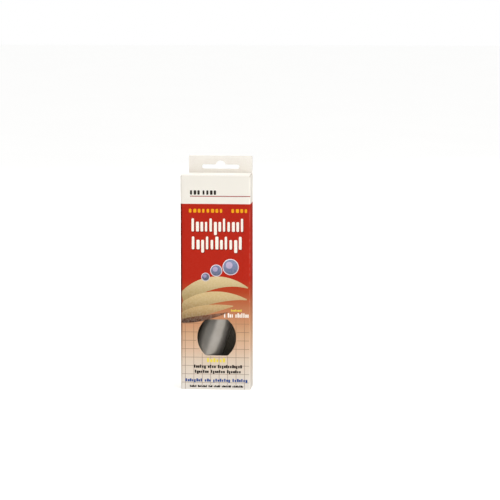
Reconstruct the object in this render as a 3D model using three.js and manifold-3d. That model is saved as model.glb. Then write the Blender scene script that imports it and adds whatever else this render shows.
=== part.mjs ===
// A finger splint in its window carton. The splint is a gutter of bent sheet metal with a
// closed round tip and a foam lining. It leans inside a slim folding carton of printed
// board, and shows through a window in the front. The carton has a lid that tucks in at the
// back, and a hang tab with a slot above it.
// Millimetres, +Z up. The window faces -Y, and the origin is the middle of the base.
import * as THREE from 'three';
import { mergeVertices } from 'three/addons/utils/BufferGeometryUtils.js';
import Module from 'manifold-3d';

// Splint
const SPLINT_LENGTH = 101.6; // open end to tip
const SPLINT_RADIUS = 11.1; // outside of the gutter
const SHEET_THICKNESS = 0.9;
const WALL_RISE = 5.9; // straight walls above the half round
const FOAM_THICKNESS = 2.4;
const FOAM_PROUD = 1.0; // foam stands this far past the metal's rim
const FOAM_GAP = 0.3;

// Carton
const BOARD = 0.55;
const CARTON_WIDTH = 53.4;
const CARTON_HEIGHT = 164.7; // base to the top of the lid
const FRONT_CLEARANCE = 1.0; // from the front panel to the splint's back
const REAR_CLEARANCE = 2.9; // from the foam's rim to the back panel
const SIDE_CLEARANCE = 0.35; // from the leaning splint to each side panel
const EDGE_RADIUS = 0.8; // outside of the upright creases
const LAYER_GAP = 0.3; // between folded layers of board

// Window in the front panel: flat top and bottom, and round bulging sides
const WINDOW_HEIGHT = 27.9;
const WINDOW_WIDTH = 29.8;
const WINDOW_FLAT = 16.6; // width of the flat top and bottom
const WINDOW_X = 0.9; // its middle, from the carton's middle
const WINDOW_Z = 40.2;

// Hang tab: the back panel goes on above the lid and is folded double there
const TAB_HEIGHT = 13.1; // above the lid
const TAB_INSET_LEFT = 4.2;
const TAB_INSET_RIGHT = 0.4;
const TAB_CORNER_RADIUS = 1.2;
const TAB_LAP = 6.0; // how far the tab's sheet is joined into the back panel
const SLOT_WIDTH = 28.8;
const SLOT_HEIGHT = 3.2;
const SLOT_RISE = 2.9; // from the lid's level to the bottom of the slot
const SLOT_BUMP_RADIUS = 3.9;
const SLOT_BUMP_RISE = 5.2; // from the lid's level to the middle of the round bump

// Lid, tongue and dust flaps
const LID_SIDE_GAP = 0.4;
const LID_REAR_GAP = 0.45; // from the lid to the hang tab
const CREASE_GAP = 0.35; // below the lid's crease
const TONGUE_LENGTH = 12.0;
const TONGUE_INSET = 1.5; // narrower than the lid at each side
const TONGUE_CORNER_RADIUS = 5.0;
const TONGUE_SWING_GAP = 0.5; // from the dust flaps to the way of the tongue
const FLAP_MIDDLE_GAP = 1.2; // between the tips of a pair of dust flaps
const FLAP_TAPER = 2.5; // cut off each dust flap's free corners

// Steps in round stretches
const EDGE_STEPS = 3;
const CORNER_STEPS = 4;
const WINDOW_STEPS = 16;
const BUMP_STEPS = 16;
const TIP_STEPS = 24;
const ROUND_STEPS = 12;

const CUT_MARGIN = 1.0; // cutting bodies stand this far past what they cut

// Sizes that follow
const FOAM_OUTER_RADIUS = SPLINT_RADIUS - SHEET_THICKNESS - FOAM_GAP;
const FOAM_INNER_RADIUS = FOAM_OUTER_RADIUS - FOAM_THICKNESS;
const SPLINT_DEPTH = SPLINT_RADIUS + WALL_RISE + FOAM_PROUD;
const CARTON_DEPTH = 2 * BOARD + FRONT_CLEARANCE + SPLINT_DEPTH + REAR_CLEARANCE;
const INNER_WIDTH = CARTON_WIDTH - 2 * BOARD;
const FRONT_FACE = -CARTON_DEPTH / 2;
const BACK_FACE = CARTON_DEPTH / 2;
const FRONT_INSIDE = FRONT_FACE + BOARD;
const BACK_INSIDE = BACK_FACE - BOARD;
const LID_UNDERSIDE = CARTON_HEIGHT - BOARD;
const WALL_TOP = LID_UNDERSIDE - CREASE_GAP;
const TAB_TOP = CARTON_HEIGHT + TAB_HEIGHT;
const TAB_FRONT = BACK_FACE - 2 * BOARD;
const LID_LENGTH = TAB_FRONT - LID_REAR_GAP - FRONT_INSIDE;
const LID_WIDTH = CARTON_WIDTH - 2 * LID_SIDE_GAP;
// The tongue leans in just enough to swing out past the tab when the lid opens.
const TONGUE_LEAN = Math.asin(TONGUE_LENGTH / (2 * LID_LENGTH));
const TONGUE_INNER_REACH = LID_LENGTH * Math.cos(TONGUE_LEAN) - BOARD;

const wasm = await Module();
wasm.setup();

const printedBoard = new THREE.MeshStandardMaterial({ color: 0xc03a22, roughness: 0.45 });
const paleBoard = new THREE.MeshStandardMaterial({ color: 0xf0ece4, roughness: 0.55 });
const plainBoard = new THREE.MeshStandardMaterial({ color: 0xd9d4c8, roughness: 0.8 });
const sheetMetal = new THREE.MeshStandardMaterial({
  color: 0xb4b0aa, roughness: 0.35, metalness: 1.0,
});
const foam = new THREE.MeshStandardMaterial({ color: 0x8d9bb5, roughness: 0.95 });

// A closed geometry as a solid for joining and cutting
function toSolid(geometry) {
  const bare = geometry.clone();
  bare.deleteAttribute('normal');
  bare.deleteAttribute('uv');
  const merged = mergeVertices(bare, 1e-5);
  return new wasm.Manifold(new wasm.Mesh({
    numProp: 3,
    vertProperties: new Float32Array(merged.attributes.position.array),
    triVerts: new Uint32Array(merged.index.array),
  }));
}

function toGeometry(solid) {
  const mesh = solid.getMesh();
  const geometry = new THREE.BufferGeometry();
  geometry.setAttribute('position', new THREE.BufferAttribute(mesh.vertProperties, 3));
  geometry.setIndex(new THREE.BufferAttribute(mesh.triVerts, 1));
  geometry.computeVertexNormals();
  return geometry;
}

function named(name, geometry, material) {
  const mesh = new THREE.Mesh(geometry, material);
  mesh.name = name;
  return mesh;
}

// A rectangle from its corners, each with its own radius, in the order
// lower left, lower right, upper right, upper left
function roundedRectangle(left, bottom, right, top, radii) {
  const [lowerLeft, lowerRight, upperRight, upperLeft] = radii;
  const shape = new THREE.Shape();
  const corner = (x, y, radius, start) => {
    if (radius > 0) shape.absarc(x, y, radius, start, start + Math.PI / 2, false);
    else shape.lineTo(x, y);
  };
  shape.moveTo(left + lowerLeft, bottom);
  corner(right - lowerRight, bottom + lowerRight, lowerRight, -Math.PI / 2);
  corner(right - upperRight, top - upperRight, upperRight, 0);
  corner(left + upperLeft, top - upperLeft, upperLeft, Math.PI / 2);
  corner(left + lowerLeft, bottom + lowerLeft, lowerLeft, Math.PI);
  return shape;
}

// A flat sheet lying in X and Y, its underside at the given height
function levelSheet(shape, underside, thickness, steps) {
  const options = { depth: thickness, bevelEnabled: false, curveSegments: steps };
  return new THREE.ExtrudeGeometry(shape, options).translate(0, 0, underside);
}

// A sheet standing in X and Z, from the y of its front to its back
function uprightSheet(shape, front, back, steps) {
  const options = { depth: back - front, bevelEnabled: false, curveSegments: steps };
  return new THREE.ExtrudeGeometry(shape, options).rotateX(Math.PI / 2).translate(0, back, 0);
}

// The four walls, up to the lid
function wallTube() {
  const x = CARTON_WIDTH / 2;
  const outer = roundedRectangle(-x, FRONT_FACE, x, BACK_FACE, Array(4).fill(EDGE_RADIUS));
  const inside = x - BOARD;
  const innerRadius = Math.max(EDGE_RADIUS - BOARD, 0);
  outer.holes.push(roundedRectangle(
    -inside, FRONT_INSIDE, inside, BACK_INSIDE, Array(4).fill(innerRadius),
  ));
  return toSolid(levelSheet(outer, 0, WALL_TOP, EDGE_STEPS));
}

// The window's outline: two flats joined by two arcs
function windowCut() {
  const halfFlat = WINDOW_FLAT / 2;
  const halfHeight = WINDOW_HEIGHT / 2;
  const bulge = WINDOW_WIDTH / 2 - halfFlat;
  const radius = (halfHeight ** 2 + bulge ** 2) / (2 * bulge);
  const centre = WINDOW_WIDTH / 2 - radius;
  const half = Math.asin(halfHeight / radius);
  const shape = new THREE.Shape();
  shape.absarc(WINDOW_X + centre, WINDOW_Z, radius, -half, half, false);
  shape.absarc(WINDOW_X - centre, WINDOW_Z, radius, Math.PI - half, Math.PI + half, false);
  const front = FRONT_FACE - CUT_MARGIN;
  return toSolid(uprightSheet(shape, front, FRONT_INSIDE + CUT_MARGIN, WINDOW_STEPS));
}

// The hang slot: a low slot with a round bump in its middle, where a rod sits
function slotCut(middle) {
  const bottom = CARTON_HEIGHT + SLOT_RISE;
  const half = SLOT_WIDTH / 2;
  const ends = Array(4).fill(SLOT_HEIGHT / 2);
  const low = roundedRectangle(
    middle - half, bottom, middle + half, bottom + SLOT_HEIGHT, ends,
  );
  const bump = new THREE.Shape();
  bump.absarc(middle, CARTON_HEIGHT + SLOT_BUMP_RISE, SLOT_BUMP_RADIUS, 0, 2 * Math.PI);
  const below = new THREE.Shape();
  const sink = CARTON_HEIGHT + SLOT_BUMP_RISE - SLOT_BUMP_RADIUS - CUT_MARGIN;
  const wide = SLOT_BUMP_RADIUS + CUT_MARGIN;
  below.moveTo(middle - wide, sink);
  below.lineTo(middle + wide, sink);
  below.lineTo(middle + wide, bottom);
  below.lineTo(middle - wide, bottom);
  const front = TAB_FRONT - CUT_MARGIN;
  const back = BACK_FACE + CUT_MARGIN;
  const round = toSolid(uprightSheet(bump, front, back, BUMP_STEPS))
    .subtract(toSolid(uprightSheet(below, front - CUT_MARGIN, back + CUT_MARGIN, 1)));
  return toSolid(uprightSheet(low, front, back, CORNER_STEPS)).add(round);
}

// The tab: the back panel's own sheet, and the ply folded down in front of it
function hangTab() {
  const left = -CARTON_WIDTH / 2 + TAB_INSET_LEFT;
  const right = CARTON_WIDTH / 2 - TAB_INSET_RIGHT;
  const radii = [0, 0, TAB_CORNER_RADIUS, TAB_CORNER_RADIUS];
  const joined = Math.max(TAB_INSET_RIGHT, EDGE_RADIUS);
  const sheet = roundedRectangle(left, WALL_TOP, right, TAB_TOP, radii);
  const root = roundedRectangle(
    left, WALL_TOP - TAB_LAP, CARTON_WIDTH / 2 - joined, WALL_TOP + BOARD, [0, 0, 0, 0],
  );
  const ply = roundedRectangle(left, CARTON_HEIGHT + LAYER_GAP, right, TAB_TOP, radii);
  return toSolid(uprightSheet(sheet, BACK_INSIDE, BACK_FACE, CORNER_STEPS))
    .add(toSolid(uprightSheet(root, BACK_INSIDE, BACK_FACE, 1)))
    .add(toSolid(uprightSheet(ply, TAB_FRONT, BACK_INSIDE, CORNER_STEPS)))
    .subtract(slotCut((left + right) / 2));
}

function cartonSleeve() {
  const solid = wallTube().subtract(windowCut()).add(hangTab());
  return named('carton_sleeve', toGeometry(solid), printedBoard);
}

// The lid panel, hinged on its front edge along the inside of the front panel
function topLid() {
  const half = LID_WIDTH / 2;
  const shape = roundedRectangle(
    -half, FRONT_INSIDE, half, FRONT_INSIDE + LID_LENGTH, [0, 0, 0, 0],
  );
  return named('top_lid', levelSheet(shape, LID_UNDERSIDE, BOARD, 1), paleBoard);
}

// The tongue on the lid's rear edge, tucked in behind the dust flaps
function lidTongue() {
  const half = LID_WIDTH / 2 - TONGUE_INSET;
  const radii = [TONGUE_CORNER_RADIUS, TONGUE_CORNER_RADIUS, 0, 0];
  const shape = roundedRectangle(-half, -TONGUE_LENGTH, half, 0, radii);
  const geometry = uprightSheet(shape, -BOARD, 0, CORNER_STEPS).rotateX(-TONGUE_LEAN);
  const mesh = named('lid_tongue', geometry, plainBoard);
  const rise = BOARD * Math.sin(TONGUE_LEAN);
  mesh.position.set(0, FRONT_INSIDE + LID_LENGTH, LID_UNDERSIDE - LAYER_GAP - rise);
  return mesh;
}

// One dust flap, folded in from a side panel. side is -1 at the left and 1 at the right.
function dustFlap(name, side, underside, rear) {
  const root = INNER_WIDTH / 2 - LAYER_GAP;
  const tip = FLAP_MIDDLE_GAP / 2;
  const front = FRONT_INSIDE + LAYER_GAP;
  const outline = [
    [root, front], [root, rear], [tip + FLAP_TAPER, rear], [tip, rear - FLAP_TAPER],
    [tip, front + FLAP_TAPER], [tip + FLAP_TAPER, front],
  ];
  const points = outline.map(([x, y]) => new THREE.Vector2(side * x, y));
  return named(name, levelSheet(new THREE.Shape(points), underside, BOARD, 1), plainBoard);
}

function topDustFlaps() {
  const underside = WALL_TOP - BOARD;
  const rear = FRONT_INSIDE + TONGUE_INNER_REACH - TONGUE_SWING_GAP;
  return [
    dustFlap('top_dust_flap_left', -1, underside, rear),
    dustFlap('top_dust_flap_right', 1, underside, rear),
  ];
}

function bottomDustFlaps() {
  const underside = BOARD + LAYER_GAP;
  const rear = BACK_INSIDE - LAYER_GAP;
  return [
    dustFlap('bottom_dust_flap_left', -1, underside, rear),
    dustFlap('bottom_dust_flap_right', 1, underside, rear),
  ];
}

// The outer bottom flap, glued under the dust flaps
function bottomFlap() {
  const x = INNER_WIDTH / 2 - LAYER_GAP;
  const shape = roundedRectangle(
    -x, FRONT_INSIDE + LAYER_GAP, x, BACK_INSIDE - LAYER_GAP, [0, 0, 0, 0],
  );
  return named('bottom_flap', levelSheet(shape, 0, BOARD, 1), printedBoard);
}

// The skin of a gutter from its keel up to its rim: a row of points at each station along
// the straight wall, round the tip and back. Its length lies along Z and it opens to +Y.
function gutterSkin(radius, rise) {
  const tip = SPLINT_LENGTH - SPLINT_RADIUS;
  const stations = [{ along: 0, turn: 0 }];
  for (let i = 0; i <= TIP_STEPS; i += 1) {
    stations.push({ along: tip, turn: (Math.PI * i) / TIP_STEPS });
  }
  stations.push({ along: 0, turn: Math.PI });
  return stations.map(({ along, turn }) => {
    const point = (out, depth) => new THREE.Vector3(
      out * Math.cos(turn), depth, along + out * Math.sin(turn),
    );
    const row = [];
    for (let i = 0; i <= ROUND_STEPS; i += 1) {
      const angle = (Math.PI / 2) * (i / ROUND_STEPS - 1);
      row.push(point(i === 0 ? 0 : radius * Math.cos(angle), radius * Math.sin(angle)));
    }
    row.push(point(radius, rise));
    return row;
  });
}

// The solid between an outer and an inner skin, closed at the rim and at the open end
function gutter(outerRadius, innerRadius, rise) {
  const outer = gutterSkin(outerRadius, rise);
  const inner = gutterSkin(innerRadius, rise);
  const corners = [];
  const triangle = (a, b, c) => {
    const flat = a.distanceTo(b) < 1e-6 || b.distanceTo(c) < 1e-6 || c.distanceTo(a) < 1e-6;
    if (!flat) corners.push(a, b, c);
  };
  const quad = (a, b, c, d) => {
    triangle(a, b, c);
    triangle(a, c, d);
  };
  const rim = outer[0].length - 1;
  const last = outer.length - 1;
  for (let s = 0; s < last; s += 1) {
    for (let p = 0; p < rim; p += 1) {
      quad(outer[s][p], outer[s][p + 1], outer[s + 1][p + 1], outer[s + 1][p]);
      quad(inner[s][p], inner[s + 1][p], inner[s + 1][p + 1], inner[s][p + 1]);
    }
    quad(outer[s][rim], inner[s][rim], inner[s + 1][rim], outer[s + 1][rim]);
  }
  for (let p = 0; p < rim; p += 1) {
    quad(outer[0][p], inner[0][p], inner[0][p + 1], outer[0][p + 1]);
    quad(outer[last][p], outer[last][p + 1], inner[last][p + 1], inner[last][p]);
  }
  const geometry = mergeVertices(new THREE.BufferGeometry().setFromPoints(corners), 1e-5);
  geometry.computeVertexNormals();
  return geometry;
}

// How far the splint leans, so that it just spans the carton from side to side: its open
// end's corner is at the left panel and its round tip at the right one
function leanAngle() {
  const straight = SPLINT_LENGTH - SPLINT_RADIUS;
  const room = INNER_WIDTH - 2 * SIDE_CLEARANCE - SPLINT_RADIUS;
  const reach = Math.hypot(straight, SPLINT_RADIUS);
  return Math.atan2(straight, SPLINT_RADIUS) - Math.acos(room / reach);
}

// The splint, with its back to the window and one corner on the bottom dust flaps
function splint() {
  const lean = leanAngle();
  const group = new THREE.Group();
  group.add(named(
    'splint_shell', gutter(SPLINT_RADIUS, SPLINT_RADIUS - SHEET_THICKNESS, WALL_RISE), sheetMetal,
  ));
  group.add(named(
    'splint_foam', gutter(FOAM_OUTER_RADIUS, FOAM_INNER_RADIUS, WALL_RISE + FOAM_PROUD), foam,
  ));
  const floor = 2 * BOARD + 2 * LAYER_GAP;
  group.position.set(
    -INNER_WIDTH / 2 + SIDE_CLEARANCE + SPLINT_RADIUS * Math.cos(lean),
    FRONT_INSIDE + FRONT_CLEARANCE + SPLINT_RADIUS,
    floor + SPLINT_RADIUS * Math.sin(lean),
  );
  group.rotation.y = lean;
  return group;
}

const product = new THREE.Group();
product.add(cartonSleeve(), topLid(), lidTongue(), ...topDustFlaps());
product.add(bottomFlap(), ...bottomDustFlaps(), splint());

export default product;
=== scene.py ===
# %% [markdown]
# # A finger splint in its window carton
#
# The object is a slim folding carton of printed board with a hang tab. Through a window in its
# front we see the back of a splint: a gutter of bent aluminium with a soft foam lining, which
# leans inside the carton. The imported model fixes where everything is. This lesson dresses it:
# first the camera, then the board and its print, then the splint, and the light last.

# %% Load the frame
import bpy
import bmesh
import math
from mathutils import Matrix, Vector
from mathutils.geometry import delaunay_2d_cdt


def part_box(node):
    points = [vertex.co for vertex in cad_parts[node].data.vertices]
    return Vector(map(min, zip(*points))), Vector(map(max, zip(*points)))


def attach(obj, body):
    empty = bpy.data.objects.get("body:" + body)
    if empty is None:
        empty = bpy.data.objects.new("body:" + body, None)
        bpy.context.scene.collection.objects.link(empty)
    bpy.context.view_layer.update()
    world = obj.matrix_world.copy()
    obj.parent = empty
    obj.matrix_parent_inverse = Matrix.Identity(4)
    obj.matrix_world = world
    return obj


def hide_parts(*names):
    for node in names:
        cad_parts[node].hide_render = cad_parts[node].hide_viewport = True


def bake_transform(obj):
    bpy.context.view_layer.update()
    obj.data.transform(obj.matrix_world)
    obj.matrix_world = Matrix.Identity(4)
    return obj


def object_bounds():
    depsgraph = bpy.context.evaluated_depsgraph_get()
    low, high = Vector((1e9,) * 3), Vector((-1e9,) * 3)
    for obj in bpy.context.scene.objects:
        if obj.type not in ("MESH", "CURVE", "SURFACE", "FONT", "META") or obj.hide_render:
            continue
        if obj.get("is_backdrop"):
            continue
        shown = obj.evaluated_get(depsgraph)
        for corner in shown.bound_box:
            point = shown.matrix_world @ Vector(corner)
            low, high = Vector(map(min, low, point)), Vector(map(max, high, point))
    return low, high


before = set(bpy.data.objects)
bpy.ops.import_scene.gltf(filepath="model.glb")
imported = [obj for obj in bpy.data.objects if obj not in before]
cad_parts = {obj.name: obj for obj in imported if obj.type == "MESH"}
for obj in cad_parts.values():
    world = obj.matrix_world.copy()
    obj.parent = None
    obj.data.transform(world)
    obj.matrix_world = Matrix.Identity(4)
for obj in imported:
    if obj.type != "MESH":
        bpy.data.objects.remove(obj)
solid_box = [list(corner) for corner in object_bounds()]
MM = 0.001
print("size in mm:", [round((b - a) / MM, 1) for a, b in zip(*solid_box)])

# %% [markdown]
# ## The camera
#
# A packshot like this is taken from far off with a long lens, so upright edges stay upright.
# The camera stands 5 degrees to the right and 6.5 degrees above the carton. A target point
# could be tracked with a constraint, but a plain rotation made from the viewing direction is
# easier to read, and nothing else has to exist for it to work.

# %% Camera
CAMERA_AZIMUTH = math.radians(5.0)
CAMERA_ELEVATION = math.radians(6.5)
CAMERA_DISTANCE = 1.8
AIM_RIGHT = 25.3 * MM  # the picture's middle, from the foot of the carton
AIM_UP = 105.4 * MM
LENS_LENGTH = 168.4  # in millimetres, for a sensor of the common 36 mm


def direction(azimuth, elevation):
    """The unit vector towards somebody who looks from that side."""
    return Vector((
        math.sin(azimuth) * math.cos(elevation),
        -math.cos(azimuth) * math.cos(elevation),
        math.sin(elevation),
    ))


towards_camera = direction(CAMERA_AZIMUTH, CAMERA_ELEVATION)
right = Vector((math.cos(CAMERA_AZIMUTH), math.sin(CAMERA_AZIMUTH), 0))
aim = right * AIM_RIGHT + towards_camera.cross(right) * AIM_UP
camera_data = bpy.data.cameras.new("camera")
camera_data.lens = LENS_LENGTH
camera_data.sensor_width = 36
camera_data.clip_start = 0.1
camera = bpy.data.objects.new("camera", camera_data)
camera.location = aim + towards_camera * CAMERA_DISTANCE
camera.rotation_euler = towards_camera.to_track_quat("Z", "Y").to_euler()
bpy.context.scene.collection.objects.link(camera)
bpy.context.scene.camera = camera
print("camera at", [round(c, 3) for c in camera.location])

# %% [markdown]
# ## Materials from nodes
#
# Every finish here is procedural: a few nodes make the colour, the gloss and the fine relief,
# so there are no picture files to lose. All of them read Object coordinates, which stay on
# the piece when it moves. The helpers below keep each recipe down to the lines that matter.

# %% Helpers for node materials
def linear(code):
    """A colour written as on a paint card, such as "f0ece4", for a shader."""
    parts = [int(code[i:i + 2], 16) / 255 for i in (0, 2, 4)]
    curve = [c / 12.92 if c <= 0.04045 else ((c + 0.055) / 1.055) ** 2.4 for c in parts]
    return (*curve, 1.0)


class Recipe:
    """A new material, and short names for the nodes that it is made of."""

    def __init__(self, name, roughness=0.5, metallic=0.0, specular=0.5):
        self.material = bpy.data.materials.new(name)
        self.material.use_nodes = True
        self.tree = self.material.node_tree
        self.shader = self.tree.nodes["Principled BSDF"]
        self.shader.inputs["Roughness"].default_value = roughness
        self.shader.inputs["Metallic"].default_value = metallic
        self.shader.inputs["Specular IOR Level"].default_value = specular

    def feed(self, socket, value):
        if hasattr(value, "is_output"):
            self.tree.links.new(value, socket)
        else:
            socket.default_value = value

    def node(self, kind, **settings):
        node = self.tree.nodes.new(kind)
        for name, value in settings.items():
            setattr(node, name, value)
        return node

    def place(self):
        return self.node("ShaderNodeTexCoord").outputs["Object"]

    def axes(self):
        split = self.node("ShaderNodeSeparateXYZ")
        self.feed(split.inputs[0], self.place())
        return split.outputs

    def sum(self, operation, a, b=0.0):
        node = self.node("ShaderNodeMath", operation=operation)
        self.feed(node.inputs[0], a)
        self.feed(node.inputs[1], b)
        return node.outputs[0]

    def spread(self, value, low, high, first=0.0, last=1.0):
        """value from low to high, smoothly turned into first to last."""
        node = self.node("ShaderNodeMapRange", interpolation_type="SMOOTHSTEP")
        for socket, number in zip(node.inputs, (value, low, high, first, last)):
            self.feed(socket, number)
        return node.outputs[0]

    def noise(self, scale, detail=3.0, stretch=(1, 1, 1), turn=(0, 0, 0)):
        mapping = self.node("ShaderNodeMapping")
        self.feed(mapping.inputs["Vector"], self.place())
        mapping.inputs["Rotation"].default_value = turn
        mapping.inputs["Scale"].default_value = stretch
        node = self.node("ShaderNodeTexNoise")
        self.feed(node.inputs["Vector"], mapping.outputs[0])
        node.inputs["Scale"].default_value = scale
        node.inputs["Detail"].default_value = detail
        return node.outputs["Fac"]

    def ramp(self, value, stops):
        node = self.node("ShaderNodeValToRGB")
        self.feed(node.inputs[0], value)
        elements = node.color_ramp.elements
        while len(elements) < len(stops):
            elements.new(0.5)
        for element, (position, code) in zip(elements, stops):
            element.position = position
            element.color = linear(code)
        return node.outputs[0]

    def mix(self, factor, a, b):
        node = self.node("ShaderNodeMix", data_type="RGBA")
        self.feed(node.inputs["Factor"], factor)
        self.feed(node.inputs[6], a)
        self.feed(node.inputs[7], b)
        return node.outputs[2]

    def finish(self, colour, relief=None, depth=0.0001, roughness=None):
        """Joins the results to the shader. depth is the height of the relief in metres."""
        self.feed(self.shader.inputs["Base Color"], colour)
        if roughness is not None:
            self.feed(self.shader.inputs["Roughness"], roughness)
        if relief is not None:
            bump = self.node("ShaderNodeBump")
            bump.inputs["Distance"].default_value = depth
            self.feed(bump.inputs["Height"], relief)
            self.feed(self.shader.inputs["Normal"], bump.outputs[0])
        return self.material


print("a cream ink in linear light:", [round(c, 3) for c in linear("f0ece4")])

# %% [markdown]
# ## The carton's board, flat first
#
# A folding carton is one sheet: it is die-cut flat, creased, folded round and glued. It can be
# modelled as a hollow box with booleans, but cutting the sheet flat and then folding it gives
# the real edges for free: the glued seam, the round creases and the window all fall into
# place. The sheet is a flat outline that a constrained triangulation fills. Solidify then
# gives it the board's thickness, with one material outside, one inside and one on the cut.

# %% Sizes of the board
BOARD = 0.5
SETBACK = 0.05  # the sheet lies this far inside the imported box, with room for the ink
half_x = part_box("carton_sleeve")[1].x / MM - SETBACK
half_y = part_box("carton_sleeve")[1].y / MM - SETBACK
tab_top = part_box("carton_sleeve")[1].z / MM
lid_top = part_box("top_lid")[1].z / MM
CREASE_RADIUS = 0.8
FRONT_TOP = 163.6
BACK_TOP = 163.75
SIDE_TOP = 163.25
print("carton:", round(2 * half_x, 1), "x", round(2 * half_y, 1), "mm, lid at", round(lid_top, 1))


# %% Helpers that cut a flat sheet
def inside(point, loop):
    """Whether a flat point lies within a closed outline."""
    hit = False
    for a, b in zip(loop, loop[1:] + loop[:1]):
        if (a.y > point.y) != (b.y > point.y):
            hit ^= point.x < a.x + (b.x - a.x) * (point.y - a.y) / (b.y - a.y)
    return hit


def with_crossings(loop, across, up):
    """The outline, with a point wherever it crosses one of the lattice's lines."""
    points = []
    for a, b in zip(loop, loop[1:] + loop[:1]):
        cuts = {0.0}
        for lines, axis in ((across, 0), (up, 1)):
            span = b[axis] - a[axis]
            if abs(span) > 1e-6:
                cuts.update(round((line - a[axis]) / span, 6) for line in lines)
        points += [a.lerp(b, t) for t in sorted(cuts) if 0 <= t < 0.999]
    return points


def fill_flat(outline, holes, across, up, folds=()):
    """Points and triangles of a flat sheet, on a lattice of lines, with its holes left out."""
    loops = [with_crossings(loop, across, up) for loop in [outline, *holes]]
    points, edges = [], []
    for loop in loops:
        start = len(points)
        points += loop
        edges += [(start + i, start + (i + 1) % len(loop)) for i in range(len(loop))]
    for x in across:
        before = None
        for y in up:
            spot = Vector((x, y))
            if inside(spot, outline) and not any(inside(spot, hole) for hole in holes):
                points.append(spot)
                if before is not None and x in folds:
                    edges.append((before, len(points) - 1))
                before = len(points) - 1
            else:
                before = None
    flat, _, triangles, *_ = delaunay_2d_cdt(points, edges, [], 0, 1e-5)
    kept = []
    for triangle in triangles:
        middle = sum((flat[i] for i in triangle), Vector((0, 0))) / 3
        if inside(middle, outline) and not any(inside(middle, hole) for hole in holes):
            kept.append(triangle)
    return flat, kept


# %% Helpers that make the object and finish its mesh
def new_piece(name, points, faces, materials):
    """A mesh object from points in millimetres."""
    mesh = bpy.data.meshes.new(name)
    mesh.from_pydata([Vector(p) * MM for p in points], [], faces)
    tidy = bmesh.new()
    tidy.from_mesh(mesh)
    bmesh.ops.remove_doubles(tidy, verts=tidy.verts, dist=4e-6)
    bmesh.ops.dissolve_degenerate(tidy, dist=4e-6, edges=tidy.edges)
    loose = [v for v in tidy.verts if not v.link_faces]
    bmesh.ops.delete(tidy, geom=loose, context="VERTS")
    tidy.to_mesh(mesh)
    tidy.free()
    for material in materials:
        mesh.materials.append(material)
    piece = bpy.data.objects.new(name, mesh)
    bpy.context.scene.collection.objects.link(piece)
    return piece


def thicken(piece, thickness, bevel=0.0):
    """Solidify inwards: outside, inside and cut edge take materials 0, 1 and 2."""
    solidify = piece.modifiers.new("thickness", "SOLIDIFY")
    solidify.thickness = thickness * MM
    solidify.offset = -1
    solidify.use_even_offset = True
    last = len(piece.data.materials) - 1
    solidify.material_offset = min(1, last)
    solidify.material_offset_rim = min(2, last)
    if bevel:
        rounding = piece.modifiers.new("edges", "BEVEL")
        rounding.width = bevel * MM
        rounding.segments = 3
        rounding.limit_method = "ANGLE"
        rounding.angle_limit = math.radians(50)


def apply_and_smooth(piece, angle=30):
    """Applies the modifiers, then shades smooth with its real corners kept sharp."""
    graph = bpy.context.evaluated_depsgraph_get()
    mesh = bpy.data.meshes.new_from_object(piece.evaluated_get(graph))
    piece.modifiers.clear()
    piece.data = mesh
    mesh.shade_smooth()
    mesh.set_sharp_from_angle(angle=math.radians(angle))
    return len(mesh.polygons)


# %% [markdown]
# ## The printed board
#
# The board is white, coated on its outside and printed edge to edge. A cream header runs round
# the top. Below it a strong red fades through tan into near white at the foot. The same ink
# film covers the creases, where folding has cracked it and rubbed it a little paler. Down the
# left crease, in the red, a thin dark line is painted shade, where the crease turns from the
# light. The fade depends on height alone, so one colour ramp along Z holds it.

# %% The fade down the front
FADE_TOP = 85.0
HEADER_FOOT = 142.5
FADE = [
    (0.00, "e6e1da"), (0.10, "e2d8cc"), (0.26, "dfcdb9"), (0.38, "dcb99c"),
    (0.50, "d2a884"), (0.62, "c98f68"), (0.76, "bd7049"), (0.88, "b5441f"), (1.00, "b92007"),
]
print("colours in the fade:", len(FADE))


def front_colour(recipe):
    """The printed ground at a height: fade, red field, then the cream header."""
    height = recipe.axes()[2]
    share = recipe.sum("DIVIDE", height, FADE_TOP * MM)
    fade = recipe.ramp(share, FADE)
    header = recipe.spread(height, (HEADER_FOOT - 0.1) * MM, (HEADER_FOOT + 0.1) * MM)
    return recipe.mix(header, fade, linear("f2eee5"))


def crease_wear(recipe):
    """1 along the upright creases where the ink has rubbed, broken up by noise."""
    x, y, _ = recipe.axes()
    near_x = recipe.spread(recipe.sum("ABSOLUTE", x), (half_x - 0.9) * MM, (half_x - 0.2) * MM)
    near_y = recipe.spread(recipe.sum("ABSOLUTE", y), (half_y - 0.9) * MM, (half_y - 0.2) * MM)
    both = recipe.sum("MULTIPLY", near_x, near_y)
    broken = recipe.spread(recipe.noise(260, 6), 0.42, 0.72)
    return recipe.sum("MULTIPLY", both, broken)


def painted_crease_shade(recipe):
    """Painted shade: a thin dark line down the left crease, darkest in the red, where it turns
    from the light.
    """
    x, y, z = recipe.axes()
    turning = recipe.spread(x, (-half_x + 0.6) * MM, (-half_x + 1.9) * MM, 1.0, 0.0)
    front = recipe.spread(y, (-half_y + 0.6) * MM, (-half_y + 1.4) * MM, 0.8, 0.0)
    red = recipe.spread(z, -10 * MM, 75 * MM)
    header = recipe.spread(z, (HEADER_FOOT - 0.5) * MM, (HEADER_FOOT + 0.5) * MM, 1.0, 0.12)
    along = recipe.sum("MULTIPLY", red, header)
    return recipe.sum("MULTIPLY", recipe.sum("MULTIPLY", turning, front), along)


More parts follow.
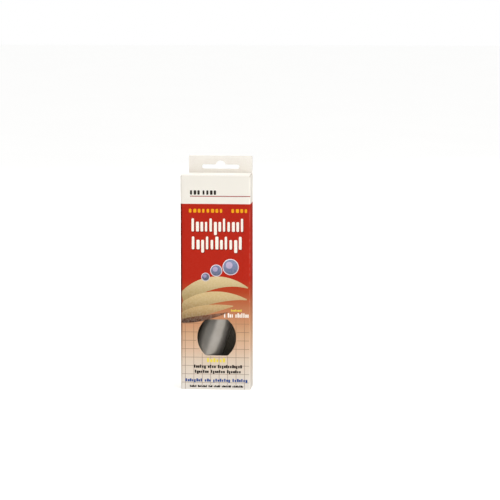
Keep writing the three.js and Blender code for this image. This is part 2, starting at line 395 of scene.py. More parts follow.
# %% Printed board, cream board, bare inside and cut edge
def board_finish(recipe, colour, gloss=0.40):
    """Coated board: a satin film over faint fibres, a little uneven in gloss."""
    fibres = recipe.noise(2600, 3, stretch=(1, 1, 0.45))
    broad = recipe.noise(60, 2)
    relief = recipe.sum("ADD", recipe.sum("MULTIPLY", fibres, 0.35), broad)
    roughness = recipe.spread(recipe.noise(140, 3), 0.3, 0.7, gloss - 0.04, gloss + 0.06)
    recipe.shader.inputs["Specular IOR Level"].default_value = 0.15
    return recipe.finish(colour, relief, 0.00002, roughness)


recipe = Recipe("printed_board")
ground = front_colour(recipe)
mottle = recipe.spread(recipe.noise(900, 4), 0.3, 0.7, 0.0, 0.006)
ground = recipe.mix(mottle, ground, linear("fff6ea"))
# painted shade: a thin dark line down the left crease, where it turns away from the light
ground = recipe.mix(painted_crease_shade(recipe), ground, linear("3c1a14"))
worn = recipe.sum("MULTIPLY", crease_wear(recipe), 0.2)
printed_board = board_finish(recipe, recipe.mix(worn, ground, linear("e9ded0")))

recipe = Recipe("cream_board")
speckle = recipe.spread(recipe.noise(1200, 3), 0.35, 0.7)
cream_board = board_finish(recipe, recipe.mix(speckle, linear("faf6ef"), linear("f7f2ea")))

recipe = Recipe("bare_board", roughness=0.85, specular=0.2)
fibre = recipe.noise(1500, 5, stretch=(1, 1, 0.3))
tone = recipe.ramp(fibre, [(0.3, "766e62"), (0.52, "8e8678"), (0.75, "a29a8b")])
bare_board = recipe.finish(tone, fibre, 0.00006)

recipe = Recipe("cut_edge", roughness=0.8, specular=0.2)
ply = recipe.noise(3000, 2)
tone = recipe.ramp(ply, [(0.3, "d5c8b4"), (0.7, "eee6d8")])
cut_edge = recipe.finish(tone, ply, 0.00005)
BOARD_LAYERS = (printed_board, bare_board, cut_edge)
CREAM_LAYERS = (cream_board, bare_board, cut_edge)
print("board materials:", [m.name for m in BOARD_LAYERS + CREAM_LAYERS[:1]])

# %% [markdown]
# ## Folding the sleeve
#
# The flat sheet's width runs once round the carton, so folding is only a matter of walking
# along the outline: four panels with a small quarter round between them. Each panel also bows
# in a little in its middle, the wide ones by a quarter of a millimetre, because board that is
# creased along its edges never stays quite flat. Above the lid the sheet goes on straight up
# as the hang tab.

# %% A walk round the carton
CREASE_STEPS = 5
straight_x = 2 * (half_x - CREASE_RADIUS)
straight_y = 2 * (half_y - CREASE_RADIUS)
turn_length = CREASE_RADIUS * math.pi / 2
PANELS = [  # name, length and how far the middle bows in
    ("left", straight_y, 0.12), ("front", straight_x, 0.25),
    ("right", straight_y, 0.12), ("back", straight_x, 0.25),
]
panel_start = {}
along = 0.0
for panel, length, _ in PANELS:
    along += turn_length
    panel_start[panel] = along
    along += length
sheet_length = along


def walk(u, z):
    """Where the point at u along the flat sheet ends up, and which way it faces."""
    corner = Vector((-half_x + CREASE_RADIUS, half_y - CREASE_RADIUS, 0))
    heading = Vector((0, 1, 0))  # outwards, from the middle of the first quarter round
    for _, length, bow in PANELS:
        side = Vector((-heading.y, heading.x, 0))
        if u <= turn_length + 1e-3:
            turn = u / CREASE_RADIUS
            out = heading * math.cos(turn) + side * math.sin(turn)
            return corner + out * CREASE_RADIUS + Vector((0, 0, z)), out
        u -= turn_length
        heading, side = side, -heading
        if u <= length + 1e-3:
            share = u / length
            rise = min(max(z / FRONT_TOP, 0), 1)
            dip = bow * math.sin(math.pi * share) * math.sin(math.pi * rise) ** 0.5
            base = corner + side * u + heading * (CREASE_RADIUS - dip)
            return base + Vector((0, 0, z)), heading
        u -= length
        corner = corner + side * length
    raise ValueError("past the end of the sheet")


for panel, length, _ in PANELS:
    spot, out = walk(panel_start[panel] + length / 2, 0)
    print(panel, "panel's middle:", [round(c, 1) for c in spot], "faces", [round(c) for c in out])

# %% [markdown]
# ## The window and the hang slot
#
# The window is cut with a flat top and bottom and two bulging sides. The hang slot is a long
# low slot with a round bump for the hook. Both are drawn flat, as the die would be: lines and
# arcs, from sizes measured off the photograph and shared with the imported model.

# %% Outlines of the cut-outs
WINDOW_MIDDLE = (0.9, 40.2)
WINDOW_HEIGHT = 27.9
WINDOW_WIDTH = 29.8
WINDOW_FLAT = 16.6
SLOT_WIDTH = 28.8
SLOT_HEIGHT = 3.2
SLOT_FOOT = 167.6
BUMP_RADIUS = 3.9
BUMP_HEIGHT = 169.9


def arc(x, y, radius, start, end, steps):
    """Points along an arc round (x, y), from one angle in degrees to another."""
    angles = [math.radians(start + (end - start) * i / steps) for i in range(steps + 1)]
    return [Vector((x + radius * math.cos(a), y + radius * math.sin(a))) for a in angles]


def window_outline():
    """The window: two arcs for its sides, and their ends make its flat top and bottom."""
    x, z = WINDOW_MIDDLE
    half = WINDOW_HEIGHT / 2
    bulge = (WINDOW_WIDTH - WINDOW_FLAT) / 2
    radius = (half ** 2 + bulge ** 2) / (2 * bulge)
    offset = WINDOW_WIDTH / 2 - radius
    open_angle = math.degrees(math.asin(half / radius))
    sides = arc(x + offset, z, radius, -open_angle, open_angle, 20)
    return sides + arc(x - offset, z, radius, 180 - open_angle, 180 + open_angle, 20)


def slot_outline(middle):
    """The slot, counterclockwise from its lower left, with the bump on its upper side."""
    end = SLOT_HEIGHT / 2
    reach = SLOT_WIDTH / 2 - end
    level = SLOT_FOOT + end
    rise = SLOT_FOOT + SLOT_HEIGHT - BUMP_HEIGHT
    start = math.degrees(math.asin(rise / BUMP_RADIUS))
    outline = arc(middle + reach, level, end, -90, 90, 8)
    outline += arc(middle, BUMP_HEIGHT, BUMP_RADIUS, start, 180 - start, 14)
    return outline + arc(middle - reach, level, end, 90, 270, 8)


print("window corners:", len(window_outline()), "slot corners:", len(slot_outline(0)))

# %% The outline of the flat blank
CARTON_HALF = 26.7
TAB_IN_LEFT = 4.2  # the tab stands further in at the left than at the right
TAB_IN_RIGHT = 0.4
tab_left = -CARTON_HALF + TAB_IN_LEFT
tab_right = CARTON_HALF - TAB_IN_RIGHT
TAB_CORNER = 1.2
FOLD_RADIUS = 0.52  # outside of the fold along the tab's top
tab_fold = tab_top - FOLD_RADIUS - SETBACK


def back_u(x):
    """Where x on the back panel lies along the flat sheet."""
    return panel_start["back"] + half_x - CREASE_RADIUS - x


def front_u(x):
    """Where x on the front panel lies along the flat sheet."""
    return panel_start["front"] + half_x - CREASE_RADIUS + x


def tab_inset(z):
    """How far the tab's rounded corners come in at a height."""
    drop = TAB_CORNER - (tab_top - SETBACK - z)
    return TAB_CORNER - math.sqrt(max(TAB_CORNER ** 2 - drop ** 2, 0)) if drop > 0 else 0.0


front_end = panel_start["front"] + straight_x
front_start = panel_start["front"]
blank = [Vector(p) for p in (
    (0, 0), (sheet_length, 0), (sheet_length, BACK_TOP), (back_u(tab_left), BACK_TOP),
    (back_u(tab_left), tab_fold - 0.3), (back_u(tab_left) - tab_inset(tab_fold), tab_fold),
    (back_u(tab_right) + tab_inset(tab_fold), tab_fold), (back_u(tab_right), tab_fold - 0.3),
    (back_u(tab_right), SIDE_TOP), (front_end, SIDE_TOP), (front_end, FRONT_TOP),
    (front_start, FRONT_TOP), (front_start, SIDE_TOP), (0, SIDE_TOP),
)]
print("the flat blank in mm:", round(sheet_length, 1), "by", round(tab_fold, 1))


# %% Cut and fold the sleeve
def lines_between(start, end, step):
    """Evenly spaced numbers from start to end, about a step apart."""
    count = max(1, round((end - start) / step))
    return [start + (end - start) * i / count for i in range(count + 1)]


across, folds = [], []
for panel, length, _ in PANELS:
    start = panel_start[panel]
    folds += [start - turn_length * i / CREASE_STEPS for i in range(CREASE_STEPS, -1, -1)]
    across += lines_between(start, start + length, 3.5)[1:-1]
across = sorted(across + folds + [sheet_length])
up = lines_between(0, SIDE_TOP, 4.5) + [FRONT_TOP] + lines_between(166, tab_fold, 3)[:-1]
slot_x = (tab_left + tab_right) / 2
window = [Vector((front_u(p.x), p.y)) for p in window_outline()]
slot = [Vector((back_u(p.x), p.y)) for p in slot_outline(slot_x)]
flat, triangles = fill_flat(blank, [window, slot], across, up, folds)


def fold_sleeve(point):
    """Folds round the carton, and leaves the tab flat where it stands above the lid."""
    if point.y > lid_top:
        return Vector((back_u(0) - point.x, half_y, point.y))
    return walk(point.x, point.y)[0]


sleeve = new_piece("printed_sleeve", [fold_sleeve(p) for p in flat], triangles, BOARD_LAYERS)
thicken(sleeve, BOARD)
print("sleeve faces:", apply_and_smooth(sleeve))
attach(sleeve, "carton")
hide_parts("carton_sleeve")

# %% [markdown]
# ## The tab's second ply
#
# One thickness of board would tear on a hook, so the tab is folded double: its front ply comes
# over the top and down behind the lid, where it is glued. It could be a flat copy, but then
# its top would show two square edges. Here the ply's own top rows run over a small half
# round, as the fold does.

# %% Tab ply with its fold
PLY_OVERLAP = 4.0  # how far it reaches down behind the lid
ply_foot = lid_top - PLY_OVERLAP
TAB_FRONT = 10.4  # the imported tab's front face
ply_front = TAB_FRONT + 0.02
over = math.pi * FOLD_RADIUS
ply_lines = lines_between(ply_foot, tab_fold, 2.5)
bend_lines = [tab_fold + over * i / 8 for i in range(1, 9)]


def over_the_top(x, run):
    """A point of the ply: straight up its front, then round the fold to the back."""
    if run <= tab_fold:
        return Vector((x, ply_front, run))
    turn = (run - tab_fold) / FOLD_RADIUS
    middle = ply_front + FOLD_RADIUS
    height = tab_fold + FOLD_RADIUS * math.sin(turn)
    return Vector((x, middle - FOLD_RADIUS * math.cos(turn), height))


def ply_edge(side, run):
    """The ply's edge at the left or right, drawn in where the tab's corner is round."""
    place = over_the_top(0, run)
    return Vector((side + (tab_inset(place.z) if side < 0 else -tab_inset(place.z)), run))


runs = [tab_fold - 0.3, tab_fold] + bend_lines
ply = [Vector((tab_left, ply_foot)), Vector((tab_right, ply_foot))]
ply += [ply_edge(tab_right, run) for run in runs]
ply += [ply_edge(tab_left, run) for run in reversed(runs)]
flat, triangles = fill_flat(
    ply, [slot_outline(slot_x)], lines_between(tab_left, tab_right, 3), ply_lines + bend_lines,
)
tab = new_piece("hang_tab_ply", [over_the_top(*p) for p in flat], triangles, CREAM_LAYERS)
thicken(tab, BOARD)
print("tab ply faces:", apply_and_smooth(tab))
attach(tab, "carton")

# %% [markdown]
# ## Lid, tongue and flaps
#
# The lid, its tongue and the flaps are strips of the same board, bent at creases. Each one is
# drawn as a path seen from its end, and swept sideways between two edges. The crease between
# front and lid is a short quarter round of its own. If it belonged to the lid, it would turn
# into the front panel as the lid swings open. Here it is a piece apart, tied to neither the
# carton nor the lid.

# %% A strip of board along a path
UP = Vector((0, 0, 1))


def folded_strip(name, stations, columns, place):
    """stations are (across, height, low edge, high edge). The outside faces up."""
    points, faces = [], []
    for across_at, height, low, high in stations:
        for i in range(columns + 1):
            points.append(place(across_at, height, low + (high - low) * i / columns))
    row = columns + 1
    for s in range(len(stations) - 1):
        for i in range(columns):
            a = s * row + i
            faces.append((a, a + 1, a + row + 1, a + row))
    piece = new_piece(name, points, faces, CREAM_LAYERS)
    if sum((f.normal * f.area for f in piece.data.polygons), Vector()).dot(UP) < 0:
        piece.data.flip_normals()
    thicken(piece, BOARD)
    return piece


def across_y(y, z, x):
    """For a path that runs from front to back: its y and z, and x between its edges."""
    return Vector((x, y, z))


def along_arc(y, z, radius, start, end, steps):
    """An arc as pairs of numbers, to go into a path."""
    return [(p.x, p.y) for p in arc(y, z, radius, start, end, steps)]


# %% The lid's path from front to back
lid_low, lid_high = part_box("top_lid")
tongue_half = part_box("lid_tongue")[1].x / MM
tongue_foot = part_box("lid_tongue")[0].z / MM
HINGE_Y = lid_low.y / MM
HINGE_Z = lid_low.z / MM
LID_OUTSIDE = lid_top - SETBACK
BEND_RADIUS = 0.85
TONGUE_LENGTH = 12.0  # as packed: with its lean, it clears the back while the lid swings
lid_rear = lid_high.y / MM
lid_half = lid_high.x / MM
tongue_lean = math.asin(TONGUE_LENGTH / (2 * (lid_rear - HINGE_Y)))
FOLD_REACH = 0.55  # how far the crease reaches back along the lid, from the hinge
bend = along_arc(lid_rear - BEND_RADIUS, LID_OUTSIDE - BEND_RADIUS, BEND_RADIUS,
                 90, -math.degrees(tongue_lean), 8)
lid_panel = [(y, LID_OUTSIDE) for y in lines_between(HINGE_Y + FOLD_REACH, bend[0][0], 3)[:-1]]
stations = [(y, z, -lid_half, lid_half) for y, z in lid_panel + bend]
print("the tongue leans in by", round(math.degrees(tongue_lean), 1), "degrees")

# %% Lid with its tongue
TONGUE_CORNER = 5.0
TIP_GAP = 0.2
tongue_length = (bend[-1][1] - tongue_foot) / math.cos(tongue_lean) - TIP_GAP
corner = arc(0, 0, TONGUE_CORNER, 0, 90, 10)
tongue = [(2.0, 0), (4.0, 0)]
tongue += [(tongue_length - TONGUE_CORNER + p.y, TONGUE_CORNER - p.x) for p in corner[:-1]]
tongue.append((tongue_length, TONGUE_CORNER - 0.3))
for run, narrower in tongue:
    y = bend[-1][0] - run * math.sin(tongue_lean)
    z = bend[-1][1] - run * math.cos(tongue_lean)
    stations.append((y, z, narrower - tongue_half, tongue_half - narrower))
lid = folded_strip("tuck_lid", stations, 16, across_y)
print("lid faces:", apply_and_smooth(lid))
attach(lid, "lid")
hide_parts("top_lid", "lid_tongue")

# %% The crease between front and lid
path = [(-half_y, FRONT_TOP), (-half_y, FRONT_TOP + 0.3)]
path += along_arc(HINGE_Y, HINGE_Z, LID_OUTSIDE - HINGE_Z, 180, 90, 8)
path += [(HINGE_Y + 0.3, LID_OUTSIDE), (HINGE_Y + FOLD_REACH, LID_OUTSIDE)]
stations = [(y, z, -lid_half, lid_half) for y, z in path]
print("lid's half width:", round(lid_half, 2), "rear edge at", round(lid_rear, 2))
crease = folded_strip("lid_crease", stations, 16, across_y)
print("crease faces:", apply_and_smooth(crease))
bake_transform(crease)

# %% Dust flaps under the lid
FLAP_CORNER = 2.5
for node, side in (("top_dust_flap_left", -1), ("top_dust_flap_right", 1)):
    low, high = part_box(node)
    top = high.z / MM
    tip = min(abs(low.x), abs(high.x)) / MM
    front, rear = low.y / MM, high.y / MM
    bend_at = half_x - BOARD
    stations = [(x, z, front, rear) for x, z in along_arc(bend_at, top - BOARD, BOARD, 0, 90, 4)]
    flat_part = lines_between(bend_at, tip + FLAP_CORNER, 3)[1:]
    stations += [(x, top, front, rear) for x in flat_part]
    stations.append((tip, top, front + FLAP_CORNER, rear - FLAP_CORNER))
    flap = folded_strip("dust_flap_left" if side < 0 else "dust_flap_right", stations, 6,
                        lambda x, z, y: Vector((side * x, y, z)))
    print(flap.name, "faces:", apply_and_smooth(flap))
    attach(flap, "carton")
    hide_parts(node)

# %% The bottom: one glued flap outside, and the dust flaps that it covers
for node in ("bottom_flap", "bottom_dust_flap_left", "bottom_dust_flap_right"):
    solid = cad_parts[node]
    layer = cream_board if node == "bottom_flap" else bare_board
    for place in solid.material_slots:
        place.material = layer
    print(node, "takes", layer.name)

# %% [markdown]
# ## The print
#
# Words and pictures on a carton are thin films of ink. A picture file would be the usual way,
# but then the print's sharpness depends on its pixels. Here each ink is a mesh of its own that
# lies one to three hundredths of a millimetre above the board and follows its bow. The
# wording is laid out as plain blocks, as a printer's dummy has them, so the part stays blank.

# %% Inks
def ink(name, code, second):
    """An ink that wanders between two close colours, a little duller than the board."""
    recipe = Recipe(name)
    grain = recipe.spread(recipe.noise(1800, 3), 0.35, 0.7)
    return board_finish(recipe, recipe.mix(grain, linear(code), linear(second)), gloss=0.42)


INKS = {
    "white": ink("ink_white", "fffaf0", "fbeee2"),
    "cream": ink("ink_cream", "efe4d2", "ebdfcb"),
    "yellow": ink("ink_yellow", "f6b21c", "f2a010"),
    "lemon": ink("ink_lemon", "f2e05c", "eed848"),
    "black": ink("ink_black", "2b2624", "3a322e"),
    "blue": ink("ink_blue", "35559a", "2c4888"),
    "rule": ink("ink_rule", "a8382c", "983024"),
    "shadow": ink("ink_shadow", "7c1c10", "701a10"),
}
print("inks:", sorted(INKS))

# %% Helpers that print a patch of ink
UNDERLAY = 0.010  # how far the layers of ink lie above the board, in millimetres
MAIN_INK = 0.015
SMALL_INK = 0.020
TOP_INK = 0.025


def front_sheet(point, lift):
    """A point of the front panel's print, lifted off the board by so many millimetres."""
    spot, out = walk(front_u(point.x), point.y)
    return spot + out * lift


def back_sheet(point, lift):
    """The same on the back panel, where x still runs from left to right as it is read."""
    spot, out = walk(back_u(-point.x), point.y)
    return spot + out * lift


def print_patches(name, loops, material, lift, sheet=front_sheet):
    """One mesh for all the patches of an ink, each an outline in millimetres."""
    points, faces = [], []
    for loop in loops:
        xs, zs = [p.x for p in loop], [p.y for p in loop]
        across = lines_between(min(xs), max(xs), 4)[1:-1]
        up = lines_between(min(zs), max(zs), 4)[1:-1]
        flat, triangles = fill_flat(loop, [], across, up)
        faces += [tuple(i + len(points) for i in triangle) for triangle in triangles]
        points += [sheet(p, lift) for p in flat]
    piece = new_piece(name, points, faces, [material])
    piece.data.shade_smooth()
    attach(piece, "carton")


def block(x0, z0, x1, z1, radius):
    """A rectangle with round corners, from its lower left to its upper right."""
    radius = min(radius, (x1 - x0) / 2.01, (z1 - z0) / 2.01)
    corners = [(x1 - radius, z0 + radius, -90), (x1 - radius, z1 - radius, 0),
               (x0 + radius, z1 - radius, 90), (x0 + radius, z0 + radius, 180)]
    return [p for x, z, start in corners for p in arc(x, z, radius, start, start + 90, 3)]


# %% Rows of blocks where wording goes
STROKE_WIDTHS = (0.82, 1.0, 0.9, 0.74)  # in turn, so that a row isn't quite even


def block_row(x0, x1, z0, z1, words, tall=(0,), low=(), gap=0.24, space=0.9):
    """Blocks for words of so many strokes. Some strokes are tall, and some reach low."""
    strokes = sum(words)
    pitch = (x1 - x0) / (strokes + space * (len(words) - 1))
    rise = (z1 - z0) * 0.26
    loops, x, count = [], x0, 0
    for word in words:
        for _ in range(word):
            top = z1 if count % 7 in tall else z1 - rise
            foot = z0 - rise if count % 7 in low else z0
            wide = pitch * (1 - gap) * STROKE_WIDTHS[count % 4]
            loops.append(block(x, foot, x + wide, top, pitch * 0.2))
            x += pitch
            count += 1
        x += pitch * space
    return loops


def moved(loops, x, z):
    """The same outlines, set off sideways and up."""
    return [[p + Vector((x, z)) for p in loop] for loop in loops]


headline = block_row(-18.2, 22.9, 121.4, 131.4, (12,), tall=(0, 4), low=(5,), gap=0.34)
headline += block_row(-18.0, 21.5, 107.8, 117.6, (11,), tall=(0, 3, 5), low=(2,), gap=0.34)
print_patches("headline_shadow", moved(headline, 0.5, -0.55), INKS["shadow"], UNDERLAY)
print_patches("headline_blocks", headline, INKS["white"], TOP_INK)
strap = block_row(-20.2, 25.8, 135.8, 138.7, (8, 4), tall=range(7), gap=0.3, space=1.6)
print_patches("strap_line", strap, INKS["yellow"], MAIN_INK)
header = block_row(-19.3, 1.6, 149.4, 152.8, (3, 4), tall=range(7), gap=0.3, space=0.4)
print_patches("header_row", header, INKS["black"], MAIN_INK)
RULE_FOOT, RULE_TOP = 148.0, 148.6
RULE_STEP = 0.25  # short pieces take the rule round the crease at its right end
rule = [block(-19.4, RULE_FOOT, half_x - CREASE_RADIUS, RULE_TOP, 0.05)]
rule_end = rule[0][0].x
for i in range(4):
    start, end = rule_end + RULE_STEP * i, rule_end + RULE_STEP * (i + 1)
    rule.append(block(start, RULE_FOOT, end, RULE_TOP, 0.001))
print_patches("header_rule", rule, INKS["rule"], MAIN_INK)
print("blocks in the headline:", len(headline), "and in the header:", len(header))

# %% The small rows
white = block_row(6.5, 25.8, 55.6, 59.1, (1, 3, 7), tall=(0, 1, 5))
lemon = block_row(11.9, 20.4, 60.3, 62.0, (8,), tall=(0, 3))
lemon += block_row(-6.6, 8, 21.0, 24.3, (6,), tall=(0, 2, 5))
black = block_row(-16.7, 20.4, 16.6, 19.1, (6, 4, 12), tall=(0, 3), low=(5,), gap=0.06)
black += block_row(-16, 19.6, 12.7, 15.1, (7, 7, 7), tall=(0, 4), low=(1,), gap=0.06)
black += block_row(-19.8, 21.2, 1.7, 3.3, (5, 7, 3, 5, 7, 8), tall=(0, 2, 4, 5), gap=-0.06)
blue = block_row(-23.2, 24.6, 6.0, 8.4, (8, 3, 8, 7), tall=(0, 2, 5), low=(4,), gap=0.1)
for name, rows, colour in (("white_row", white, "white"), ("lemon_rows", lemon, "lemon"),
                           ("black_rows", black, "black"), ("blue_row", blue, "blue")):
    print_patches(name, rows, INKS[colour], SMALL_INK)
print("blocks in black:", len(black), "and in blue:", len(blue))

# %% The back panel's plain text block
print_patches("back_field", [block(-20, 60, 20, 128, 2.5)], INKS["cream"], UNDERLAY, back_sheet)
rows = block_row(-16, 16, 118.5, 122.5, (5, 8), tall=(0, 4))
ROW_PITCH = 4.4
for row in range(10):
    z = 108 - ROW_PITCH * row
    rows += block_row(-16, (16, 13.5, 15.2, 8)[row % 4], z, z + 1.7, (7, 4, 9, 5), tall=(0, 3, 5))
print_patches("back_rows", rows, INKS["black"], SMALL_INK, back_sheet)
print_patches("back_headline", block_row(-16, 16, 133, 138, (6, 5), tall=(0, 4)),
              INKS["white"], MAIN_INK, back_sheet)
print("blocks on the back:", len(rows))

# %% [markdown]
# ## The picture and the grid
#
# The picture's place holds a plain motif in the carton's own colours: soft tan bands that
# sweep across like dunes, with three slate-blue discs above them. The fine grid below it is
# drawn as thin strips rather than in the board's shader, so that the lines stay crisp. Their
# brown fades upwards into the ground, whose own colour ramp along the height they share.

# %% The grid of fine lines
recipe = Recipe("ink_grid")
height = recipe.axes()[2]
strength = recipe.spread(height, 44 * MM, 61 * MM, 0.72, 0.0)
line_colour = recipe.mix(strength, front_colour(recipe), linear("7d5a45"))
grid_ink = board_finish(recipe, line_colour)
GRID_PITCH = 6.48
GRID_LEFT, GRID_FOOT = -23.2, 5.4  # the first upright line and the first level one
HALF_LINE = 0.34 / 2
STRIP = 1.2  # a line is a chain of strips this long, so that it follows the bow
OVERLAP_UP, OVERLAP_LEVEL = 0.02, 0.05
GRID_LIFT = 0.008


def clear_of_window(x, z):
    """Whether a spot on the front isn't in the window."""
    return not inside(Vector((x, z)), window_outline())


grid = []
for column in range(8):
    x = GRID_LEFT + GRID_PITCH * column
    for z in lines_between(0.3, 62, STRIP):
        top = z + STRIP + OVERLAP_UP
        if z < 61 and clear_of_window(x, z) and clear_of_window(x, top):
            grid.append((x - HALF_LINE, z, x + HALF_LINE, top))
for row in range(9):
    z = GRID_FOOT + GRID_PITCH * row
    for x in lines_between(-half_x + 0.9, half_x - 0.9, STRIP)[:-1]:
        end = x + STRIP + OVERLAP_LEVEL
        if clear_of_window(x, z) and clear_of_window(end, z):
            grid.append((x, z - HALF_LINE, end, z + HALF_LINE))
print("grid strips:", len(grid))

# %% One mesh for all the strips
points, faces = [], []
for x0, z0, x1, z1 in grid:
    faces.append(tuple(range(len(points), len(points) + 4)))
    corners = ((x0, z0), (x1, z0), (x1, z1), (x0, z1))
    points += [front_sheet(Vector(p), GRID_LIFT) for p in corners]
grid_lines = new_piece("grid_lines", points, faces, [grid_ink])
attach(grid_lines, "carton")
print("grid faces:", len(grid_lines.data.polygons))


# %% A picture of sweeping bands
def band(start, end, bend, thickness, wide_at=0.3):
    """A band that runs in from the left edge, arched by bend, and tapers to its end."""
    (x0, z0), (x1, z1) = start, end
    lower, upper = [], []
    edge = -half_x + CREASE_RADIUS
    for i in range(31):
        t = i / 30
        middle = Vector((x0 + (x1 - x0) * t, z0 + (z1 - z0) * t + bend * 4 * t * (1 - t)))
        slope = Vector((x1 - x0, z1 - z0 + bend * 4 * (1 - 2 * t))).normalized()
        swell = 0.4 + 0.6 * t / wide_at if t < wide_at else (1 - t) / (1 - wide_at)
        half = thickness / 2 * (0.08 + 0.92 * math.sin(math.pi / 2 * swell))
        side = Vector((-slope.y, slope.x)) * half
        for row, spot in ((upper, middle + side), (lower, middle - side)):
            if spot.x > edge or not row:
                row.append(Vector((max(spot.x, edge), spot.y)))
    return lower + upper[::-1]


def disc(x, z, radius):
    """A round patch."""
    return arc(x, z, radius, 0, 360, 40)[:-1]


def shaded(name, low, high, foot, top):
    """An ink that shades from one colour to another over a stretch of height."""
    recipe = Recipe(name)
    share = recipe.spread(recipe.axes()[2], foot * MM, top * MM)
    grain = recipe.spread(recipe.noise(700, 4), 0.3, 0.75, 0.0, 0.12)
    colour = recipe.mix(share, linear(low), linear(high))
    return board_finish(recipe, recipe.mix(grain, colour, linear("fff2dc")))


BAND_LIFT, BAND_STEP = 0.011, 0.003  # each band lies over the one before
SWEEPS = [  # name, start, end, bend, thickness, then low and high colour, foot, top
    ("band_high", (-26.5, 70.0), (24.8, 78.5), 8.0, 10.5, "a48c58", "dcc594", 68, 88),
    ("band_middle", (-26.5, 62.5), (24.0, 69.5), 5.0, 10.0, "95794a", "d6bb86", 58, 76),
    ("band_low", (-26.5, 56.5), (13.5, 64.5), 1.0, 8.0, "80643e", "c8a772", 52, 66),
    ("band_shade", (-26.5, 52.6), (9.5, 59.5), -0.8, 4.4, "3a2218", "7a4a30", 50, 60),
]
for number, (name, start, end, bend, thickness, *tones) in enumerate(SWEEPS):
    print_patches(name, [band(start, end, bend, thickness)], shaded("ink_" + name, *tones),
                  BAND_LIFT + BAND_STEP * number)
print("bands in the picture:", len(SWEEPS))

# %% The discs above the bands
RIM_LIFT, DISC_LIFT, LIGHT_LIFT = 0.021, 0.024, 0.027
RIM_WIDTH = 0.55
DISCS = [(11.6, 94.4, 6.2), (0.6, 91.6, 4.6), (-7.6, 86.6, 3.3)]  # x, height and radius
print_patches("disc_rims", [disc(*d) for d in DISCS],
              shaded("ink_rim", "cfc6d2", "f2ecf0", 82, 101), RIM_LIFT)
print_patches("discs", [disc(x, z, r - RIM_WIDTH) for x, z, r in DISCS],
              shaded("ink_slate", "46506a", "7f8bb2", 83, 100), DISC_LIFT)
print_patches("disc_lights", [disc(x - 0.18 * r, z + 0.22 * r, r * 0.42) for x, z, r in DISCS],
              shaded("ink_lilac", "8e86b0", "c2b2d2", 84, 99), LIGHT_LIFT)
print("discs in the picture:", len(DISCS))

# %% [markdown]
# ## The splint
#
# The splint is pressed from thin aluminium sheet: a half-round gutter with straight walls and
# a closed round tip. A cylinder cut in half would have no tip, so the skin is swept instead:
# the profile from keel to rim goes up one wall, round the tip and back down the other. The
# sheet's thickness comes from Solidify, and a small bevel takes the sharpness off the rim.

# %% Sizes and lean of the splint
SPLINT_LENGTH = 101.6
SPLINT_RADIUS = 11.1
WALL_RISE = 5.9
SHEET = 0.9
shell_low, shell_high = (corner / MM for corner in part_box("splint_shell"))
room = shell_high.x - shell_low.x - SPLINT_RADIUS
straight = SPLINT_LENGTH - SPLINT_RADIUS
lean = math.atan2(straight, SPLINT_RADIUS) - math.acos(room / math.hypot(straight, SPLINT_RADIUS))
splint_origin = Vector((
    shell_low.x + SPLINT_RADIUS * math.cos(lean),
    shell_low.y + SPLINT_RADIUS,
    shell_low.z + SPLINT_RADIUS * math.sin(lean),
))
print("lean in degrees:", round(math.degrees(lean), 2))
print("the gutter's open end, in its middle:", [round(c, 2) for c in splint_origin])


# %% A gutter's skin
LENGTH_STEPS, TIP_STEPS, KEEL_STEPS, WALL_STEPS = 16, 32, 16, 3


def leaning(x, y, z):
    """From the splint's own axes, with its length along Z, into the carton."""
    return splint_origin + Vector((
        x * math.cos(lean) + z * math.sin(lean), y, z * math.cos(lean) - x * math.sin(lean),
    ))


def gutter(name, radius, rise, material, ripple=None):
    """The skin from the keel up to the rim, along one wall, round the tip and back."""
    stations = [(straight * i / LENGTH_STEPS, 0) for i in range(LENGTH_STEPS + 1)]
    stations += [(straight, math.pi * i / TIP_STEPS) for i in range(1, TIP_STEPS + 1)]
    stations += [(straight * i / LENGTH_STEPS, math.pi) for i in range(LENGTH_STEPS - 1, -1, -1)]
    angles = [math.pi / 2 * (i / KEEL_STEPS - 1) for i in range(KEEL_STEPS + 1)]
    profile = [(math.cos(a), math.sin(a) * radius) for a in angles]
    profile += [(1.0, rise * i / WALL_STEPS) for i in range(1, WALL_STEPS + 1)]
    points, faces = [], []
    for run, turn in stations:
        for out, depth in profile:
            wobble = ripple(run, turn, depth) if ripple else 0.0
            reach = out * radius + out * wobble
            points.append(leaning(reach * math.cos(turn), depth, run + reach * math.sin(turn)))
    row = len(profile)
    for s in range(len(stations) - 1):
        for i in range(row - 1):
            a = s * row + i
            faces.append((a, a + 1, a + row + 1, a + row))
    piece = new_piece(name, points, faces, [material])
    outward = piece.data.polygons[len(piece.data.polygons) // 4]
    if outward.normal.dot(outward.center / MM - leaning(0, 0, outward.center.z / MM)) < 0:
        piece.data.flip_normals()
    return piece


# %% Satin aluminium
recipe = Recipe("satin_aluminium", roughness=0.3, metallic=0.78)
lines = recipe.noise(3200, 3, stretch=(1, 1, 0.02), turn=(0, lean, 0))
cloudy = recipe.noise(90, 3)
tone = recipe.mix(recipe.spread(cloudy, 0.3, 0.7), linear("c9c3ba"), linear("d8d3cb"))
gloss = recipe.spread(lines, 0.3, 0.7, 0.28, 0.42)
aluminium = recipe.finish(tone, lines, 0.00001, gloss)
print("metal:", aluminium.name)

# %% The gutter
shell = gutter("splint_gutter", SPLINT_RADIUS, WALL_RISE, aluminium)
thicken(shell, SHEET, bevel=0.25)
print("gutter faces:", apply_and_smooth(shell, 40))
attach(shell, "carton")
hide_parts("splint_shell")
